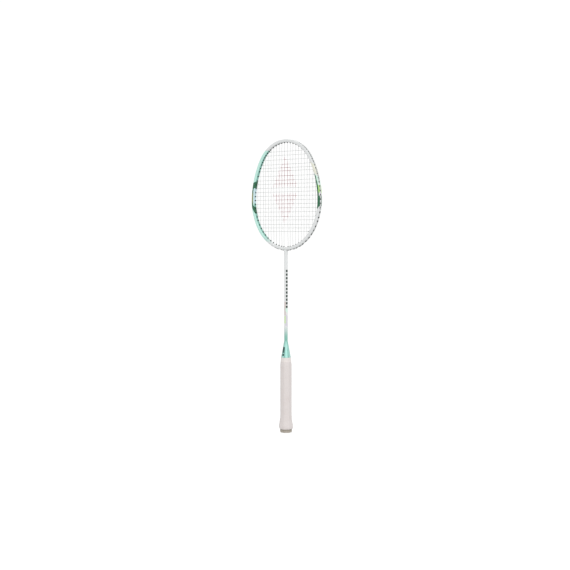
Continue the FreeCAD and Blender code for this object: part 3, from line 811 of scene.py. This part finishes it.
def hoop_paint():
    """White, with one side mint, its walls a darker mint as painted shade, and colour panels
    where the head is widest.
    """
    surface = Surface("hoop_paint", WHITE, **LACQUER)
    left, right = surface.x.under(0), surface.x.over(0)
    offset = hoop_offset(surface)
    faces = surface.y.size().over(3.3, 0.4)

    def panel(text, side, low, high, inner=-9.0, outer=9.0, slant=1.0, soft=0.35):
        """A colour block between two heights on one side of the head, with slanted ends."""
        along = surface.z + offset * slant
        surface.layer(text, side * along.within(low, high, soft)
                      * offset.within(inner, outer, 0.25))

    mint = left * surface.z.step(436, 456) * surface.z.under(651, 0.8)
    # The walls take the darker mint as painted shade; the front and back faces get the lighter
    # mint.
    surface.layer(DEEP_MINT_AND_WALL_SHADE, mint)
    surface.layer(MINT, mint * faces)
    panel(DEEP_GREEN, left, 564.5, 579.5, slant=0.5)
    panel(ICE, left, 529, 564.5, slant=0.5)
    panel(DEEP_GREEN, left, 555, 565, inner=-0.6)
    panel(OLIVE, left, 524, 555, inner=-1.3)
    panel(DEEP_GREEN, left, 514, 530, slant=-2.1)
    front = right * (surface.y.size().under(2.6, 0.3) * offset.over(1.6)).inverse()
    panel(CREAM, front, 594, 619, soft=1.5)
    panel(PALE_MINT, front, 571, 592)
    panel(DEEP_GREEN, front, 579, 590, outer=0.6, slant=2.0)
    panel(LIME, front, 554, 571)
    panel(DEEP_GREEN, front, 554, 579, outer=1.5, slant=1.5)
    panel(DEEP_GREEN, front, 534, 554, outer=2.0)
    panel(DEEP_GREEN, front, 517, 541, slant=-1.2)
    return surface.bump(surface.noise(LACQUER_GRAIN), LACQUER_RELIEF).done()


def shaft_paint():
    """White fading to mint, with patches low on the shaft and a row of dashes above."""
    surface = Surface("shaft_paint", WHITE, **LACQUER)
    side = surface.x / SHAFT_RADIUS
    front = surface.y / -SHAFT_RADIUS
    slanted = surface.z + surface.y * 0.9
    # Low on the shaft the darker mint is the paint's own colour.
    surface.layer(DEEP_MINT_AND_WALL_SHADE, surface.z.step(252, 218))
    surface.layer(LILAC, side.over(0.2, 0.15) * slanted.within(245, 271))
    surface.layer(PALE_LIME, front.over(0.8, 0.05) * slanted.within(250, 267))
    surface.layer(ROSE_GREY, front.over(0.8, 0.05) * slanted.within(269, 300))
    surface.layer(PALE_MINT, side.over(0.4, 0.2) * slanted.within(278, 287, 2))
    dash = ((surface.z - DASH_LOW) / DASH_PITCH).math("FRACT").within(0.17, 0.83, 0.06)
    row = surface.z.within(DASH_LOW, DASH_LOW + DASH_PITCH * DASHES, 0.1)
    surface.layer(INK_GREEN, side.over(0.6, 0.05) * dash * row)
    return surface.bump(surface.noise(LACQUER_GRAIN), LACQUER_RELIEF).done()


def cone_paint():
    """Pearl mint with painted shade along the facet edges and a plain mark of two blocks."""
    surface = Surface("cone_paint", "#a8dcd2", roughness=0.22, metallic=0.6,
                      coat_weight=0.6, coat_roughness=0.05)
    surface.layer("#93c8bc", surface.z.step(196, 212))
    corner = (surface.y.math("ARCTAN2", surface.x) * (8 / math.tau)).math("FRACT")
    # Darker mint along the edges between facets, fading out where the cone rounds off: painted
    # shade.
    surface.layer("#6fa79b", corner.within(0.36, 0.64, 0.08) * surface.z.step(206, 190) * 0.85)
    front = surface.y / -CONE_HALF
    mark = surface.x.within(-2.6, 2.0, 0.1) * front.over(0.3, 0.05)
    for low, high in ((178.5, 183.5), (185.5, 199.0)):
        surface.layer("#28504b", mark * surface.z.within(low, high, 0.15))
    return surface.bump(surface.noise(1.8), 0.006).done()


def grip_material():
    surface = Surface("soft_grip", "#d4cdcb", roughness=0.66, sheen_weight=0.2,
                      sheen_roughness=0.5, specular_ior_level=0.25)
    turn = surface.y.math("ARCTAN2", surface.x) / math.tau
    phase = ((surface.z - WRAP_LOW) / SEAM_PITCH - turn).math("FRACT")
    surface.layer("#d0c7c4", surface.noise(14, 3).step(0.42, 0.68) * 0.45)
    # A darker line at each seam, where one turn laps over the next: painted shadow under the
    # overlap.
    surface.layer("#cfc5c1", phase.step(0.985, 1.0))
    grain = surface.cells(0.55) * 0.7 + surface.noise(0.35) * 0.3
    surface.roughness(surface.noise(5, 3) * 0.16 + 0.54)
    return surface.bump(grain, 0.05).done()


def tape_material():
    surface = Surface("end_tape", "#dcd5d2", roughness=0.45)
    surface.layer("#cfc8c4", surface.noise(6, 3).step(0.45, 0.7) * 0.5)
    lines = (surface.z / 0.55).math("FRACT").within(0.25, 0.75, 0.2)
    return surface.bump(lines, 0.012).done()


def cap_material():
    surface = Surface("moulded_cap", "#a39b8f", roughness=0.5)
    # Darker towards the top, under the grip's flared end: painted shade.
    surface.layer("#857e71", surface.z.step(4.5, 7.5))
    surface.layer("#b3aca2", surface.z.step(3.2, 1.2))
    surface.layer("#8d8579", surface.noise(2.5, 4).step(0.4, 0.7) * 0.4)
    return surface.bump(surface.noise(0.3, 3), 0.03).done()


def badge_material():
    surface = Surface("medallion", "#3d8f78", roughness=0.3, coat_weight=0.6,
                      coat_roughness=0.08)
    reach = (surface.x * surface.x + surface.y * surface.y).math("SQRT")
    surface.layer("#d9dcdb", reach.over(7.15, 0.08))
    surface.layer("#dfe3e1", reach.within(2.15, 4.25, 0.08))
    surface.layer("#2b3c37", reach.within(4.25, 5.15, 0.08))
    return surface.bump(surface.noise(0.8), 0.004).done()


def moulded(name, base, shade, roughness, grain=1.2, depth=0.01, **settings):
    """A plain moulded or cut material: two near colours mixed by noise, and a fine grain."""
    surface = Surface(name, base, roughness=roughness, **settings)
    surface.layer(shade, surface.noise(grain * 3, 3).step(0.4, 0.65))
    return surface.bump(surface.noise(grain, 3), depth).done()


def wood_material():
    surface = Surface("handle_wood_grain", "#c79f6c", roughness=0.6)
    rings = surface.noise(1.6, 4, stretch=(1, 1, 18))
    surface.layer("#a67c4b", rings.step(0.45, 0.62))
    return surface.bump(rings, 0.05).done()


def string_materials():
    """The plain filament, its light grey painted shade on white strings, and the stencil's
    ink.
    """
    # The filament's light grey is painted shade: the strings are white.
    plain = Surface("string_filament", "#bbbebc", roughness=0.4, specular_ior_level=0.45)
    plain.layer("#adb1af", plain.noise(0.5).step(0.4, 0.7))
    ink = Surface("string_ink", "#860a26", roughness=0.7, specular_ior_level=0.1)
    ink.layer("#6f0820", ink.noise(1.5, 3).step(0.45, 0.7))
    return [surface.bump(surface.noise(0.25), 0.02).done() for surface in (plain, ink)]


def coat_node(name, material):
    """A procedural material on a CAD node that no mesh piece replaces."""
    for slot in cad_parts[name].material_slots:
        slot.material = material


# ---------------------------------------------------------------- floor, light and camera

AIM = Vector((0, 0, 0.341))
FLOOR_HEIGHT, ROOM_REACH = -0.0005, 14.0
BRIGHT_SIDE = (52, 30)          # azimuth and elevation
AMBIENT_LOW, AMBIENT_HIGH = 0.4, 1.25
# azimuth, elevation, distance, width, height, watts
SOFTBOXES = {"key_light": (50, 35, 2.4, 0.7, 1.4, 4.5),
             "fill_light": (-20, 25, 2.6, 1.0, 1.4, 1.5),
             "back_light": (219, 45, 2.4, 0.8, 1.4, 11)}
CAMERA_PLACE = (39.3, 3.25, 2.3)        # azimuth, elevation, distance
SENSOR_WIDTH, FOCAL_LENGTH = 36.0, 63.1
SHIFT_X, SHIFT_Y = -0.0017, 0.0006


def bearing(azimuth, elevation):
    """The direction from the racket to a viewer who looks along +Y at azimuth 0."""
    turn, rise = math.radians(azimuth), math.radians(elevation)
    return Vector((math.sin(turn) * math.cos(rise), -math.cos(turn) * math.cos(rise),
                   math.sin(rise)))


def look_from(obj, azimuth, elevation, distance):
    """Puts a light or a camera into the scene, pointed at the racket's middle."""
    obj.location = AIM + bearing(azimuth, elevation) * distance
    obj.rotation_mode = "QUATERNION"
    obj.rotation_quaternion = (AIM - obj.location).to_track_quat("-Z", "Y")
    bpy.context.collection.objects.link(obj)


def make_backdrop():
    """A white floor under the racket and a white wall all round, which light nothing."""
    white = bpy.data.materials.new("studio_white")
    white.use_nodes = True
    shader = white.node_tree.nodes["Principled BSDF"]
    shader.inputs["Base Color"].default_value = (0, 0, 0, 1)
    shader.inputs["Emission Color"].default_value = (1, 1, 1, 1)
    shader.inputs["Emission Strength"].default_value = 1.0
    reach = ROOM_REACH
    corners = [(-reach, -reach), (reach, -reach), (reach, reach), (-reach, reach)]
    points = [(x, y, z) for z in (FLOOR_HEIGHT, reach) for x, y in corners]
    faces = bridge_rings(2, 4) + [(0, 1, 2, 3), (4, 5, 6, 7)]
    mesh = bpy.data.meshes.new("backdrop")
    mesh.from_pydata(points, [], faces)
    mesh.materials.append(white)
    room = bpy.data.objects.new("backdrop", mesh)
    bpy.context.collection.objects.link(room)
    room.visible_diffuse = room.visible_glossy = room.visible_shadow = False
    room.visible_transmission = room.visible_volume_scatter = False


def make_ambient():
    """Soft light from all round, brighter from one side."""
    world = bpy.data.worlds.new("studio")
    world.use_nodes = True
    tree = world.node_tree
    background = tree.nodes["Background"]
    background.inputs["Color"].default_value = (1, 1, 1, 1)
    direction = tree.nodes.new("ShaderNodeTexCoord")
    sideways = tree.nodes.new("ShaderNodeVectorMath")
    sideways.operation = "DOT_PRODUCT"
    sideways.inputs[1].default_value = bearing(*BRIGHT_SIDE)
    level = tree.nodes.new("ShaderNodeMapRange")
    level.inputs["From Min"].default_value = -1.0
    level.inputs["To Min"].default_value = AMBIENT_LOW
    level.inputs["To Max"].default_value = AMBIENT_HIGH
    tree.links.new(direction.outputs["Generated"], sideways.inputs[0])
    tree.links.new(sideways.outputs["Value"], level.inputs["Value"])
    tree.links.new(level.outputs["Result"], background.inputs["Strength"])
    bpy.context.scene.world = world


def add_softbox(name, azimuth, elevation, distance, width, height, watts):
    light = bpy.data.lights.new(name, "AREA")
    light.shape = "RECTANGLE"
    light.size, light.size_y, light.energy = width, height, watts
    look_from(bpy.data.objects.new(name, light), azimuth, elevation, distance)


def make_camera():
    lens = bpy.data.cameras.new("camera")
    lens.sensor_width, lens.lens = SENSOR_WIDTH, FOCAL_LENGTH
    lens.shift_x, lens.shift_y = SHIFT_X, SHIFT_Y
    camera = bpy.data.objects.new("camera", lens)
    look_from(camera, *CAMERA_PLACE)
    bpy.context.scene.camera = camera


# ---------------------------------------------------------------- the whole scene

bpy.context.scene.view_settings.view_transform = "Standard"
make_backdrop()
make_ambient()
for softbox, setting in SOFTBOXES.items():
    add_softbox(softbox, *setting)
make_camera()

coat_node("frame_hoop", hoop_paint())
coat_node("shaft", shaft_paint())
coat_node("t_joint", moulded("bead_blasted_alloy", "#a9adb0", "#9ba0a4", 0.42, metallic=1.0))
coat_node("shaft_plug", moulded("plug_foam", "#5a5d5c", "#494c4b", 0.9, 0.8, 0.08))
coat_node("handle_core", wood_material())
coat_node("grip_staples", moulded("staple_wire", "#b4b7ba", "#a5a8ab", 0.3, metallic=1.0))
grommet_nylon = moulded("grommet_nylon", "#161e1a", "#101714", 0.6, 0.6, 0.008,
                        specular_ior_level=0.2)
for group in ("crown_grommets", "left_grommets", "right_grommets", "throat_grommets"):
    coat_node(group, grommet_nylon)

string_coats = string_materials()
main_runs = [main_run(main) for main in range(len(MAINS))]
cross_runs = [cross_run(cross) for cross in range(CROSSES)]
make_string("main_strings", string_path(main_runs, MAINS, LANE), "main_string", string_coats)
make_string("cross_strings", string_path(cross_runs, CROSS_STRINGS, -LANE), "cross_string",
            string_coats)
make_knots(string_coats[0])
make_grip(grip_material())
make_tape(tape_material())
make_cone(cone_paint())
make_butt_cap(cap_material())
make_badge(badge_material())
